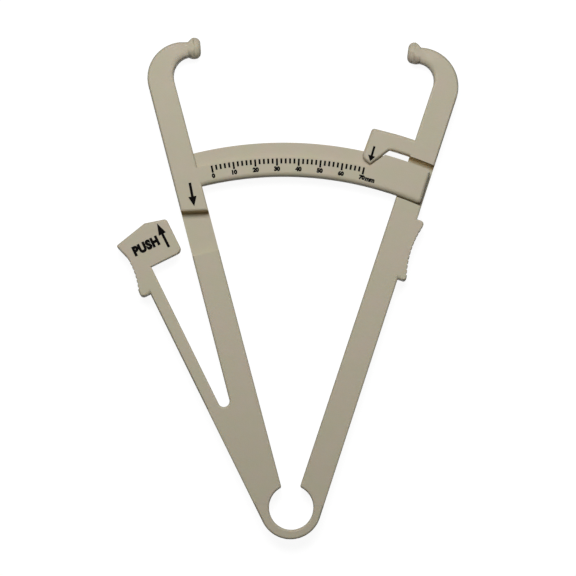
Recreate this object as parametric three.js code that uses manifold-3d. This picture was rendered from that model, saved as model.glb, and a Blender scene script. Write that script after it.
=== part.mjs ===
// Skinfold caliper, moulded in one piece of cream plastic with two flexures: a spring ring that
// joins the two arms, and a leaf that carries the press tab. Each functional region is its own mesh.
// Lengths are millimetres and angles are degrees. The caliper lies on its back: X runs across the
// arms, Y runs from the ring to the jaws and Z points out of the printed front. While it is built,
// X = 0 is the arms' line of symmetry, Y = 0 is the height of the ring bore's centre and Z = 0 is
// the back face. The last lines move the origin to the centre of the back.

import * as THREE from 'three';
import { mergeVertices } from 'three/addons/utils/BufferGeometryUtils.js';
import Module from 'manifold-3d';

const wasm = await Module();
wasm.setup();

// Layers through the thickness
const thickness = 8.0;
const webThickness = 3.8;
const slideGap = 0.3;
const hookThickness = 1.6;

// Gap between neighbouring regions, and between the pointer hook and the stop that it rests on
const seamGap = 0.3;
const stopGap = 0.3;

// Spring ring
const boreRadius = 7.55;
const boreCentreX = 0.44;
const ringRadius = 10.47;
const ringCentreX = 0.21;
const ringCentreY = -0.3;
const ringTop = 1.0;
const throatRounding = 0.8;

// Arms: half width of the throat at the bore's centre, and the lean of both edges
const throatHalfWidth = 1.08;
const armInnerLean = 16.6;
const armOuterLean = 16.31;

// Jaw hinge: the point about which the ring lets the pointer arm swing
const hingeX = -0.6;
const hingeY = -4.4;

// Scale arc: its centre, the radius of its outer edge, and its recessed band along that edge
const scaleCentreX = -2.0;
const scaleCentreY = -4.4;
const scaleRadius = 128.7;
const scaleWidth = 11.58;
const bandWidth = 5.1;

// End stop: plate at the right end of the scale, and how far the band runs on under it. Angles about
// the scale's centre run from +Y towards +X.
const stopFootAngle = 11.7;
const stopSlope = 38.0;
const stopRise = 0.4;
const stopTopInset = 0.8;
const stopBottomInset = 0.55;
const stopCornerRounding = 1.4;
const bandRunOn = 1.47;
const cutawayClearance = 0.55;

// Pointer bracket: grows from the right arm above the scale and hooks down over the recessed band
const bracketGap = 2.08;
const bracketWidth = 5.79;
const bracketLead = 0.72;
const bracketCornerRounding = 1.1;
const hookTipRise = 1.03;
const hookSideLead = 1.36;
const hookSideRise = 2.6;
const hookSideRounding = 2.4;

// Jaws: seam with the arm above the bracket, then an inner bend and an outer bend with the neck
// between them. The right jaw stands a little higher than the left one and is bent more gently.
const jawSeamRise = 6.33;
const jawInnerRise = 7.9;
const rightJawLead = 0.43;
const jawInnerRadius = 5.8;
const leftJawOuterRadius = 12.3;
const rightJawOuterRadius = 13.45;
const leftNeckHeight = 5.3;
const rightNeckHeight = 5.55;
const neckThickness = 6.4;
const neckTaperInset = 0.9;
const neckTaperLength = 5.6;

// Jaw pads: how far they reach past the inner bend's centre and above the necks' middles, the lean of
// their faces, and the gap between the faces' middles when the pads meet at their upper edges
const padOverhang = 3.72;
const leftPadRise = 0.83;
const rightPadRise = 1.03;
const padLean = 5.3;
const padDiameter = 7.6;
const padLength = 4.4;
const padRimLength = 2.1;
const padRimRounding = 2.0;
const closedPadGap = 0.85;

// Finger grip on the outside of the right arm, measured along the arm and out from it
const fingerGripFoot = 78.87;
const fingerGripLength = 21.3;
const fingerGripHeight = 2.9;
const fingerGripHollow = 1.5;
const fingerGripFootRounding = 0.9;
const fingerGripTopRounding = 1.3;

// Press lever: a leaf tangent to the ring, free above the round end of a slot. Pressed all the way,
// it leans a little past the arm's outer edge.
const leverLean = 28.1;
const leafWidth = 4.3;
const leafLength = 43.96;
const leafBendLength = 11.4;
const slotRadius = 1.96;
const pressedLeanPast = 1.16;

// Thumb grip: distances up from its foot, and how far it stands out from the leaf
const thumbGripHeight = 3.4;
const thumbFootRounding = 1.3;
const thumbHollowStart = 2.0;
const thumbHollowBottom = 11.9;
const thumbHollowHeight = 1.5;
const thumbHollowEnd = 14.4;
const thumbCornerDistance = 19.65;
const thumbCornerHeight = 3.25;
const thumbCornerRounding = 0.7;

// Press tab: thin front plate that slides over the pocket floor in the left arm, its foot measured
// up from the thumb grip's foot
const tabFoot = 8.0;
const tabLength = 12.37;
const tabReach = 11.87;
const tabPeakRise = 1.95;
const tabPeakReach = 4.5;
const tabFarRounding = 1.2;
const tabNearRounding = 1.8;

// Pocket in the front of the left arm, round the pressed tab
const pocketFootClearance = 0.35;
const pocketHeadroom = 1.4;

// Facets on each arc, and around each pad
const arcSteps = 12;
const longArcSteps = 32;
const padSides = 36;

// Colour of the plastic in daylight
const creamPlastic = { color: 0xbcb49f, roughness: 0.45, metalness: 0.0 };

const hinge = new THREE.Vector2(hingeX, hingeY);
const scaleCentre = new THREE.Vector2(scaleCentreX, scaleCentreY);
const boreCentre = new THREE.Vector2(boreCentreX, 0);
const ringCentre = new THREE.Vector2(ringCentreX, ringCentreY);
const frontLayer = webThickness + slideGap;
const hookBottom = thickness - hookThickness;
const bandFront = hookBottom - slideGap;
const padRadius = padDiameter / 2;
const neckRadius = leftNeckHeight / 2;
const leverPressAngle = leverLean - armOuterLean + pressedLeanPast;
const scaleInnerRadius = scaleRadius - scaleWidth;
const bandInnerRadius = scaleRadius - bandWidth;
const stopRadius = scaleRadius + stopRise;
const bracketInnerRadius = stopRadius + bracketGap;
const bracketOuterRadius = bracketInnerRadius + bracketWidth;
const armTop = scaleCentreY + bracketOuterRadius + jawSeamRise;

// How far the cutting solids run past the faces that they cut
const pastPart = 20;

function radians(angle) {
  return THREE.MathUtils.degToRad(angle);
}

function degrees(angle) {
  return THREE.MathUtils.radToDeg(angle);
}

// Angle of a point about the scale's centre
function angleOnScale(point) {
  return degrees(Math.atan2(point.x - scaleCentre.x, point.y - scaleCentre.y));
}

// Point at a distance from the scale's centre, its angle taken from +Y towards +X
function onScale(radius, angle) {
  const turn = radians(angle);
  return new THREE.Vector2(scaleCentre.x + radius * Math.sin(turn), scaleCentre.y + radius * Math.cos(turn));
}

// Inner and outer edge of the right arm, both mirrored for the left arm. The outer edge is tangent
// to the ring.
function armInnerX(y) {
  return throatHalfWidth + y * Math.tan(radians(armInnerLean));
}

function armOuterX(y) {
  const lean = radians(armOuterLean);
  return ringCentre.x + ringRadius / Math.cos(lean) + (y - ringCentre.y) * Math.tan(lean);
}

function armInnerPoint(y) {
  return new THREE.Vector2(armInnerX(y), y);
}

function armOuterPoint(y) {
  return new THREE.Vector2(armOuterX(y), y);
}

// Angle about the scale's centre at which the right arm's edge with this foot and lean crosses a radius
function edgeAngle(footX, lean, radius) {
  const offset = footX - scaleCentre.x + scaleCentre.y * Math.tan(radians(lean));
  return lean + degrees(Math.asin(offset * Math.cos(radians(lean)) / radius));
}

// Point on the press lever: distance up its outer edge and distance out to the left of that edge
const leverAlong = new THREE.Vector2(-Math.sin(radians(leverLean)), Math.cos(radians(leverLean)));
const leverOut = new THREE.Vector2(-Math.cos(radians(leverLean)), -Math.sin(radians(leverLean)));
const leverStart = ringCentre.clone().addScaledVector(leverOut, ringRadius);

function onLever(distance, out) {
  return leverStart.clone().addScaledVector(leverAlong, distance).addScaledVector(leverOut, out);
}

// Points on a circle from one angle to another, both in radians from +X
function arc(centre, radius, start, end, steps = arcSteps) {
  const points = [];
  for (let i = 0; i <= steps; i++) {
    const angle = start + (end - start) * i / steps;
    points.push(new THREE.Vector2(centre.x + radius * Math.cos(angle), centre.y + radius * Math.sin(angle)));
  }
  return points;
}

// Points on the shorter arc about a centre, from one point on it to another
function arcBetween(centre, from, to, steps = arcSteps) {
  const start = from.clone().sub(centre).angle();
  let end = to.clone().sub(centre).angle();
  if (end - start > Math.PI) end -= 2 * Math.PI;
  if (start - end > Math.PI) end += 2 * Math.PI;
  return arc(centre, from.distanceTo(centre), start, end, steps);
}

// Points of a concentric arc of the scale, between two angles from +Y
function scaleArc(radius, from, to, steps = longArcSteps) {
  return arc(scaleCentre, radius, radians(90 - from), radians(90 - to), steps);
}

// Points of the arc that rounds a corner, or the corner itself where it stays sharp
function roundedCorner(before, corner, after, radius) {
  if (radius === 0) return [corner];
  const back = before.clone().sub(corner).normalize();
  const ahead = after.clone().sub(corner).normalize();
  const halfAngle = Math.acos(back.dot(ahead)) / 2;
  const reach = radius / Math.tan(halfAngle);
  const middle = back.clone().add(ahead).normalize();
  const centre = corner.clone().addScaledVector(middle, radius / Math.sin(halfAngle));
  const start = corner.clone().addScaledVector(back, reach);
  const end = corner.clone().addScaledVector(ahead, reach);
  return arcBetween(centre, start, end);
}

// Outline through corners given as [point, rounding]
function roundedOutline(corners) {
  return corners.flatMap(([corner, rounding], i) => {
    const [before] = corners[(i + corners.length - 1) % corners.length];
    const [after] = corners[(i + 1) % corners.length];
    return roundedCorner(before, corner, after, rounding);
  });
}

// Where a line through a point crosses a circle about the scale's centre, going forwards
function onCircle(point, direction, radius) {
  const offset = point.clone().sub(scaleCentre);
  const along = offset.dot(direction);
  const distance = Math.sqrt(along * along - offset.lengthSq() + radius * radius) - along;
  return point.clone().addScaledVector(direction, distance);
}

function mirrored(points, side) {
  return points.map((point) => new THREE.Vector2(side * point.x, point.y));
}

function toSolid(geometry) {
  geometry.deleteAttribute('normal');
  geometry.deleteAttribute('uv');
  const merged = mergeVertices(geometry);
  const vertProperties = merged.attributes.position.array;
  const triVerts = new Uint32Array(merged.index.array);
  return new wasm.Manifold(new wasm.Mesh({ numProp: 3, vertProperties, triVerts }));
}

function toGeometry(solid) {
  const { vertProperties, triVerts } = solid.getMesh();
  const geometry = new THREE.BufferGeometry();
  geometry.setAttribute('position', new THREE.BufferAttribute(vertProperties, 3));
  geometry.setIndex(new THREE.BufferAttribute(triVerts, 1));
  geometry.computeVertexNormals();
  return geometry;
}

// Solid of an outline between two heights above the back face
function prism(outline, bottom, top) {
  const geometry = new THREE.ExtrudeGeometry(new THREE.Shape(outline), {
    depth: top - bottom,
    bevelEnabled: false,
  });
  geometry.translate(0, 0, bottom);
  return toSolid(geometry);
}

// Everything from one seam short of an arm's inner edge outwards, taken away from what joins it there
function armSide(side) {
  const seam = seamGap / Math.cos(radians(armInnerLean));
  const far = armOuterX(armTop) + pastPart;
  return prism(mirrored([
    new THREE.Vector2(armInnerX(0) - seam, 0),
    new THREE.Vector2(far, 0),
    new THREE.Vector2(far, armTop),
    new THREE.Vector2(armInnerX(armTop) - seam, armTop),
  ], side), -pastPart, thickness + pastPart);
}

// Outline of an arm: shoulder of the ring, outer edge, jaw seam, inner edge, rounded throat nose
function armOutline(side) {
  const bore = new THREE.Vector2(side * boreCentre.x, boreCentre.y);
  const lean = radians(armInnerLean);
  const into = new THREE.Vector2(Math.cos(lean), -Math.sin(lean));
  const along = new THREE.Vector2(Math.sin(lean), Math.cos(lean));
  const noseOffset = throatHalfWidth * Math.cos(lean) + throatRounding - bore.dot(into);
  const noseRise = Math.sqrt((boreRadius + throatRounding) ** 2 - noseOffset ** 2);
  const nose = bore.clone().addScaledVector(into, noseOffset).addScaledVector(along, noseRise);
  const noseOnEdge = nose.clone().addScaledVector(into, -throatRounding);
  const noseOnBore = bore.clone().addScaledVector(nose.clone().sub(bore).normalize(), boreRadius);
  const seam = ringTop + seamGap;
  const boreAtSeam = new THREE.Vector2(bore.x + Math.sqrt(boreRadius ** 2 - seam ** 2), seam);
  const outline = [
    armOuterPoint(seam),
    armOuterPoint(armTop),
    armInnerPoint(armTop),
    ...arcBetween(nose, noseOnEdge, noseOnBore),
    ...arcBetween(bore, noseOnBore, boreAtSeam).slice(1),
  ];
  return mirrored(outline, side);
}

// Where a point of the press lever comes to when the lever is pressed all the way
function pressed(point) {
  return point.clone().rotateAround(leverPivot, radians(-leverPressAngle));
}

// Centre of the slot's round end: tangent to the leaf's inner edge and to the left arm's outer edge
function slotEndCentre() {
  const lean = radians(armOuterLean);
  const armOut = new THREE.Vector2(-Math.cos(lean), -Math.sin(lean));
  const fromArm = mirrored([armOuterPoint(0)], -1)[0].dot(armOut) + slotRadius;
  const start = onLever(0, -leafWidth - slotRadius);
  const distance = (fromArm - start.dot(armOut)) / leverAlong.dot(armOut);
  return { centre: start.addScaledVector(leverAlong, distance), distance };
}

const slotEnd = slotEndCentre();
const leverPivot = onLever(slotEnd.distance + leafBendLength, -leafWidth / 2);
const gripFootDistance = slotEnd.distance + leafLength;
const tabFootDistance = gripFootDistance + tabFoot;

// Left arm with the pocket that the press tab slides into
function leftArm() {
  const reach = -leafWidth - tabReach;
  const ledgeOuter = pressed(onLever(tabFootDistance, -leafWidth));
  const ledgeInner = pressed(onLever(tabFootDistance, reach));
  const ledge = ledgeInner.clone().sub(ledgeOuter).normalize();
  const down = new THREE.Vector2(ledge.y, -ledge.x);
  const ledgeStart = ledgeOuter.addScaledVector(down, pocketFootClearance).addScaledVector(ledge, -pastPart);
  const ledgeEnd = ledgeInner.addScaledVector(down, pocketFootClearance).addScaledVector(ledge, pastPart);
  const pocketTop = pressed(onLever(tabFootDistance + tabLength, reach)).y + pocketHeadroom;
  const pocket = [
    ledgeStart,
    ledgeEnd,
    new THREE.Vector2(ledgeEnd.x, pocketTop),
    new THREE.Vector2(ledgeStart.x, pocketTop),
  ];
  return prism(armOutline(-1), 0, thickness).subtract(prism(pocket, webThickness, thickness + pastPart));
}

// Right arm, whose front is cut away so that the end of the scale can slide past
function rightArm() {
  const cutInnerRadius = scaleInnerRadius - cutawayClearance;
  const pastArm = stopBottomEndAngle + degrees(pastPart / scaleRadius);
  const cutaway = [
    ...scaleArc(cutInnerRadius, stopFootAngle, pastArm),
    ...scaleArc(bracketInnerRadius, pastArm, stopFootAngle),
  ];
  return prism(armOutline(1), 0, thickness).subtract(prism(cutaway, webThickness, thickness + pastPart));
}

// Centre of the inner or outer bend of a jaw, tangent to that edge of its arm, drawn on the right side
function bendCentre(edgeX, lean, height, radius) {
  return new THREE.Vector2(edgeX(height) - radius / Math.cos(radians(lean)), height);
}

// Bends of a jaw and the lower and upper edge of its neck
function jawBends(side) {
  const innerHeight = armTop + jawInnerRise + (side === 1 ? rightJawLead : 0);
  const neckBottom = innerHeight + jawInnerRadius;
  const neckTop = neckBottom + (side === 1 ? rightNeckHeight : leftNeckHeight);
  const outerRadius = side === 1 ? rightJawOuterRadius : leftJawOuterRadius;
  return {
    inner: bendCentre(armInnerX, armInnerLean, innerHeight, jawInnerRadius),
    outer: bendCentre(armOuterX, armOuterLean, neckTop - outerRadius, outerRadius),
    outerRadius,
    neckBottom,
    neckTop,
  };
}

const padReach = jawBends(-1).inner.x - padOverhang;

// Contact face of a jaw pad: its centre, the way that it faces, the line up the face, and the point
// halfway to the other pad when the jaws are closed
function padFace(side) {
  const { neckBottom, neckTop } = jawBends(side);
  const lean = radians(padLean);
  const padRise = side === 1 ? rightPadRise : leftPadRise;
  const meeting = new THREE.Vector2(side * padReach, (neckTop + neckBottom) / 2 + padRise);
  const up = new THREE.Vector2(side * Math.sin(lean), Math.cos(lean));
  const facing = new THREE.Vector2(-side * up.y, side * up.x);
  const centre = meeting.clone().addScaledVector(facing, -closedPadGap / 2);
  return { centre, facing, up, meeting };
}

// Jaw: the arm's end bent inwards to a neck, which ends square behind its pad
function jaw(side) {
  const { centre, facing, up } = padFace(side);
  const { inner, outer, outerRadius, neckBottom, neckTop } = jawBends(side);
  const neckEnd = centre.clone().addScaledVector(facing, -padLength - seamGap);
  const seam = armTop + seamGap;
  const outline = [
    armInnerPoint(seam),
    armOuterPoint(seam),
    ...arc(outer, outerRadius, -radians(armOuterLean), Math.PI / 2),
    new THREE.Vector2(padReach, neckTop),
    new THREE.Vector2(padReach, neckBottom),
    ...arc(inner, jawInnerRadius, Math.PI / 2, -radians(armInnerLean)),
  ];
  const padSpace = [
    neckEnd.clone().addScaledVector(up, pastPart),
    neckEnd.clone().addScaledVector(up, -pastPart),
    neckEnd.clone().addScaledVector(up, -pastPart).addScaledVector(facing, pastPart),
    neckEnd.clone().addScaledVector(up, pastPart).addScaledVector(facing, pastPart),
  ];
  return prism(mirrored(outline, side), 0, thickness)
    .intersect(jawTaper(side))
    .subtract(prism(padSpace, -pastPart, thickness + pastPart));
}

// Envelope that thins a jaw from the arm's full thickness to the neck
function jawTaper(side) {
  const neckBack = (thickness - neckThickness) / 2;
  const neckReach = jawBends(side).inner.x + neckTaperInset;
  const fullThicknessReach = neckReach + neckTaperLength;
  const far = armOuterX(armTop) + pastPart;
  const outline = [
    new THREE.Vector2(0, neckBack),
    new THREE.Vector2(neckReach, neckBack),
    new THREE.Vector2(fullThicknessReach, 0),
    new THREE.Vector2(far, 0),
    new THREE.Vector2(far, thickness),
    new THREE.Vector2(fullThicknessReach, thickness),
    new THREE.Vector2(neckReach, thickness - neckBack),
    new THREE.Vector2(0, thickness - neckBack),
  ];
  const length = armTop + pastPart;
  const geometry = new THREE.ExtrudeGeometry(new THREE.Shape(mirrored(outline, side)), {
    depth: 2 * length,
    bevelEnabled: false,
  });
  geometry.rotateX(Math.PI / 2);
  geometry.translate(0, 2 * length, 0);
  return toSolid(geometry);
}

// Jaw pad: a round flare from the neck to a flat contact face, turned about its own axis
function padGeometry() {
  const rimStart = padLength - padRimLength;
  const profile = new THREE.Path();
  profile.moveTo(0, 0);
  profile.lineTo(neckRadius, 0);
  profile.lineTo(padRadius, rimStart);
  profile.lineTo(padRadius, padLength - padRimRounding);
  profile.absarc(padRadius - padRimRounding, padLength - padRimRounding, padRimRounding, 0, Math.PI / 2);
  profile.lineTo(0, padLength);
  return new THREE.LatheGeometry(profile.getPoints(arcSteps / 2), padSides);
}

function jawPad(name, side) {
  const { centre, facing } = padFace(side);
  const base = centre.clone().addScaledVector(facing, -padLength);
  const mesh = piece(name, toSolid(padGeometry()));
  mesh.position.set(base.x, base.y, thickness / 2);
  mesh.rotation.z = Math.atan2(-facing.x, facing.y);
  return mesh;
}

// Lower half of the spring ring, between the two arms and the lever root
function hingeRing() {
  const outerLean = radians(armOuterLean);
  const lean = radians(leverLean);
  const leverAtTop = (ringTop - leverStart.y) / leverAlong.y;
  const outline = [
    armOuterPoint(ringTop),
    ...arc(ringCentre, ringRadius, -outerLean, lean - Math.PI, longArcSteps),
    onLever(leverAtTop, 0),
  ];
  const bore = prism(arc(boreCentre, boreRadius, 0, 2 * Math.PI, 2 * longArcSteps).slice(1), -pastPart, pastPart);
  return prism(outline, 0, thickness).subtract(bore);
}

// Slanted edge of the end stop: from the band's lower edge up to the right
const stopFoot = onScale(bandInnerRadius, stopFootAngle);
const stopDirection = new THREE.Vector2(Math.cos(radians(stopSlope)), Math.sin(radians(stopSlope)));
const stopNormal = new THREE.Vector2(-stopDirection.y, stopDirection.x);
const stopTop = onCircle(stopFoot, stopDirection, stopRadius);
const stopTopAngle = angleOnScale(stopTop);
const stopTopEndAngle = edgeAngle(armOuterX(0), armOuterLean, stopRadius)
  - degrees(stopTopInset / stopRadius);
const stopBottomEndAngle = edgeAngle(armOuterX(0), armOuterLean, scaleInnerRadius)
  - degrees(stopBottomInset / scaleInnerRadius);

// Scale arc in the front layer, with a recessed band above the ticks for the hook to slide over
function scaleArm() {
  const insideArm = -edgeAngle(armOuterX(0), armOuterLean, scaleRadius);
  const scaleSeamAngle = stopFootAngle - degrees(seamGap / bandInnerRadius);
  const arcOutline = [
    ...scaleArc(scaleInnerRadius, insideArm, scaleSeamAngle),
    ...scaleArc(scaleRadius, scaleSeamAngle, insideArm),
  ];
  const bandOutline = [
    ...scaleArc(bandInnerRadius, insideArm, stopFootAngle),
    ...scaleArc(scaleRadius + pastPart, stopFootAngle, insideArm),
  ];
  return prism(arcOutline, frontLayer, thickness)
    .subtract(prism(bandOutline, bandFront, thickness + pastPart))
    .subtract(armSide(-1));
}

// Plate that ends the scale, with the last of the recessed band in front of its slanted edge
function endStop() {
  const plateOutline = [
    stopFoot,
    ...scaleArc(scaleInnerRadius, stopFootAngle, stopBottomEndAngle - 1),
    ...roundedCorner(
      onScale(scaleInnerRadius, stopBottomEndAngle - 1),
      onScale(scaleInnerRadius, stopBottomEndAngle),
      onScale(stopRadius, stopTopEndAngle),
      stopCornerRounding,
    ),
    ...roundedCorner(
      onScale(scaleInnerRadius, stopBottomEndAngle),
      onScale(stopRadius, stopTopEndAngle),
      onScale(stopRadius, stopTopEndAngle - 1),
      stopCornerRounding,
    ),
    ...scaleArc(stopRadius, stopTopEndAngle - 1, stopTopAngle),
  ];
  const inPlate = (scaleInnerRadius + bandInnerRadius) / 2;
  const underPlate = stopTopAngle + bandRunOn;
  const bandEnd = [
    ...scaleArc(inPlate, stopFootAngle, underPlate, arcSteps),
    ...scaleArc(scaleRadius, underPlate, stopFootAngle, arcSteps),
  ];
  return prism(plateOutline, frontLayer, thickness).add(prism(bandEnd, frontLayer, bandFront));
}

// Bracket on the right arm and the thin pointer hook that reaches down from it over the band
function pointerBracket() {
  const edgeStart = stopFoot.clone().addScaledVector(stopNormal, stopGap);
  const tip = onCircle(edgeStart, stopDirection, bandInnerRadius + hookTipRise);
  const armpitAngle = angleOnScale(onCircle(edgeStart, stopDirection, bracketInnerRadius));
  const bracketStart = stopFootAngle - bracketLead;
  const topLeft = onScale(bracketOuterRadius, bracketStart);
  const besideTopLeft = onScale(bracketOuterRadius, armpitAngle);
  const side = onScale(bandInnerRadius + hookSideRise, stopFootAngle - hookSideLead);
  const outline = [
    tip,
    ...scaleArc(bracketInnerRadius, armpitAngle, stopBottomEndAngle),
    ...scaleArc(bracketOuterRadius, stopBottomEndAngle, armpitAngle),
    ...roundedCorner(besideTopLeft, topLeft, side, bracketCornerRounding),
    ...roundedCorner(topLeft, side, tip, hookSideRounding),
  ];
  const aboveScale = [
    ...scaleArc(bracketInnerRadius, stopFootAngle - pastPart, stopBottomEndAngle),
    ...scaleArc(bracketOuterRadius + pastPart, stopBottomEndAngle, stopFootAngle - pastPart),
  ];
  const hook = prism(outline, hookBottom, thickness);
  const bracket = prism(outline, frontLayer, thickness).intersect(prism(aboveScale, 0, thickness));
  return hook.add(bracket).subtract(armSide(1));
}

// Hollow ridge for the finger on the outer edge of the right arm
function fingerGrip() {
  const lean = radians(armOuterLean);
  const along = new THREE.Vector2(Math.sin(lean), Math.cos(lean));
  const out = new THREE.Vector2(Math.cos(lean), -Math.sin(lean));
  const foot = armOuterPoint(fingerGripFoot);
  const onGrip = (distance, height) => foot.clone().addScaledVector(along, distance).addScaledVector(out, height);
  const chord = fingerGripLength / 2 - fingerGripFootRounding;
  const hollowRadius = (chord ** 2 + fingerGripHollow ** 2) / (2 * fingerGripHollow);
  const hollowCentre = onGrip(fingerGripLength / 2, fingerGripHeight - fingerGripHollow + hollowRadius);
  const hollowLow = onGrip(fingerGripFootRounding, fingerGripHeight);
  const hollowHigh = onGrip(fingerGripLength - fingerGripFootRounding, fingerGripHeight);
  const outline = [
    onGrip(0, seamGap),
    ...roundedCorner(onGrip(0, seamGap), onGrip(0, fingerGripHeight), hollowLow, fingerGripFootRounding),
    ...arcBetween(hollowCentre, hollowLow, hollowHigh, longArcSteps).slice(1, -2),
    ...roundedCorner(
      hollowHigh,
      onGrip(fingerGripLength, fingerGripHeight),
      onGrip(fingerGripLength, seamGap),
      fingerGripTopRounding,
    ),
    onGrip(fingerGripLength, seamGap),
  ];
  return prism(outline, 0, thickness);
}

// Wedge between the left arm and the lever's outer edge, up to the round end of the slot
function leverRoot() {
  const leverAtTop = (ringTop + seamGap - leverStart.y) / leverAlong.y;
  const wedge = [
    onLever(leverAtTop, 0),
    besideLeftArm(ringTop + seamGap),
    besideLeftArm(slotEnd.centre.y),
    slotEnd.centre,
    onLever(slotEnd.distance, 0),
  ];
  const slot = prism(arc(slotEnd.centre, slotRadius, 0, 2 * Math.PI, longArcSteps).slice(1), -pastPart, pastPart);
  return prism(wedge, 0, thickness).subtract(slot);
}

// Point one seam outside the left arm's outer edge
function besideLeftArm(y) {
  return new THREE.Vector2(-armOuterX(y) - seamGap / Math.cos(radians(armOuterLean)), y);
}

// Leaf of the press lever, which bends near its root when the tab is pressed
function leverBlade() {
  const start = slotEnd.distance + seamGap;
  const end = gripFootDistance - seamGap;
  return prism([
    onLever(start, 0),
    onLever(end, 0),
    onLever(end, -leafWidth),
    onLever(start, -leafWidth),
  ], 0, thickness);
}

// Full depth upper end of the lever with the hollow for the thumb on its outer side
function thumbGrip() {
  const onGrip = (distance, out) => onLever(gripFootDistance + distance, out);
  const rise = thumbGripHeight - thumbHollowHeight;
  const run = thumbHollowBottom - thumbHollowStart;
  const hollowRadius = (run ** 2 + rise ** 2) / (2 * rise);
  const hollowCentre = onGrip(thumbHollowBottom, thumbHollowHeight + hollowRadius);
  const hollowStart = onGrip(thumbHollowStart, thumbGripHeight);
  const pastBottom = thumbHollowEnd - thumbHollowBottom;
  const endHeight = thumbHollowHeight + hollowRadius - Math.sqrt(hollowRadius ** 2 - pastBottom ** 2);
  const hollowEnd = onGrip(thumbHollowEnd, endHeight);
  const corner = onGrip(thumbCornerDistance, thumbCornerHeight);
  const outline = [
    onGrip(0, -leafWidth),
    ...roundedCorner(onGrip(0, 0), onGrip(0, thumbGripHeight), hollowStart, thumbFootRounding),
    ...arcBetween(hollowCentre, hollowStart, hollowEnd).slice(1),
    ...roundedCorner(hollowEnd, corner, tabPeak(), thumbCornerRounding),
    crownAt(-leafWidth),
  ];
  return prism(outline, 0, thickness);
}

function tabPeak() {
  return onLever(tabFootDistance + tabLength + tabPeakRise, -leafWidth - tabPeakReach);
}

// Point on the straight top edge that runs from the thumb corner to the tab's peak
function crownAt(out) {
  const share = (thumbCornerHeight - out) / (thumbCornerHeight + leafWidth + tabPeakReach);
  return onLever(gripFootDistance + thumbCornerDistance, thumbCornerHeight).lerp(tabPeak(), share);
}

// Thin front plate of the press tab
function pressTab() {
  const near = -leafWidth - seamGap;
  const far = -leafWidth - tabReach;
  const outline = roundedOutline([
    [onLever(tabFootDistance, near), 0],
    [crownAt(near), 0],
    [tabPeak(), 0],
    [onLever(tabFootDistance + tabLength, far), tabFarRounding],
    [onLever(tabFootDistance, far), tabNearRounding],
  ]);
  return prism(outline, frontLayer, thickness);
}

function piece(name, solid) {
  const mesh = new THREE.Mesh(toGeometry(solid), new THREE.MeshStandardMaterial(creamPlastic));
  mesh.name = name;
  return mesh;
}

const caliper = new THREE.Group();

const scaleArmPieces = new THREE.Group();
scaleArmPieces.add(
  piece('left_arm', leftArm()),
  piece('left_jaw', jaw(-1)),
  jawPad('left_jaw_pad', -1),
  piece('scale_arc', scaleArm()),
  piece('scale_end_stop', endStop()),
  piece('hinge_ring', hingeRing()),
  piece('lever_root', leverRoot()),
);

const pointerArmPieces = new THREE.Group();
pointerArmPieces.add(
  piece('right_arm', rightArm()),
  piece('right_jaw', jaw(1)),
  jawPad('right_jaw_pad', 1),
  piece('pointer_bracket', pointerBracket()),
  piece('finger_grip', fingerGrip()),
);

const pressLeverPieces = new THREE.Group();
pressLeverPieces.add(
  piece('lever_blade', leverBlade()),
  piece('thumb_grip', thumbGrip()),
  piece('press_tab', pressTab()),
);

caliper.add(scaleArmPieces, pointerArmPieces, pressLeverPieces);

// Origin at the centre of the back face's outline
caliper.updateMatrixWorld(true);
const extent = new THREE.Box3().setFromObject(caliper, true);
const middle = extent.getCenter(new THREE.Vector3());
caliper.position.set(-middle.x, -middle.y, -extent.min.z);

// Joints in the finished frame. The pointer arm turns until the pads meet, the lever until its tab
// lies in the pocket.
function padAngle(side) {
  const fromHinge = padFace(side).meeting.sub(hinge);
  return degrees(Math.atan2(fromHinge.x, fromHinge.y));
}

function jointAt(point, range) {
  const place = new THREE.Vector3(point.x, point.y, 0).add(caliper.position);
  return { place: place.toArray(), axis: [0, 0, 1], range };
}

caliper.userData.joints = {
  jaw_hinge: jointAt(hinge, [0, padAngle(1) - padAngle(-1)]),
  lever_flex: jointAt(leverPivot, [-leverPressAngle, 0]),
};

export default caliper;
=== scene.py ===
# Skinfold caliper in cream plastic, moulded in one shot: two long arms joined by a spring ring, a
# curved scale with printed marks, a pointer bracket and a press lever on a thin leaf.
# Each moulding is drawn in millimetres from the middle of the ring, as on a drawing, and is then
# brought into the frame, whose origin is the centre of the back.
import math

import bmesh
import bpy
from mathutils import Matrix, Vector


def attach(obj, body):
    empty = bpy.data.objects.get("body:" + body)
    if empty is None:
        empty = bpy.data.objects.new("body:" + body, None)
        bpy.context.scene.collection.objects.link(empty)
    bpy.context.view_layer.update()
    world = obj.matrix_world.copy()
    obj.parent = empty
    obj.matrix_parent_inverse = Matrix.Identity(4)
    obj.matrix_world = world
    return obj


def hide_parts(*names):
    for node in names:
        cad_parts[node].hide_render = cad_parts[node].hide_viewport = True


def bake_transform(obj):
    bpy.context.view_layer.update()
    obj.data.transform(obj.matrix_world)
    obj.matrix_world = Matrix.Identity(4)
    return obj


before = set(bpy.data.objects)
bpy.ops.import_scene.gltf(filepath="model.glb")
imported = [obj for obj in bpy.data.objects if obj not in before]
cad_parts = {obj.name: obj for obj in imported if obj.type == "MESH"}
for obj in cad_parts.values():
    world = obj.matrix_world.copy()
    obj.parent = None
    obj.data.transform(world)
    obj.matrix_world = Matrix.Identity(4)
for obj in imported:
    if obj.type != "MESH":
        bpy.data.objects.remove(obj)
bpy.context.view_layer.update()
bpy.ops.object.select_all(action="DESELECT")


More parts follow.
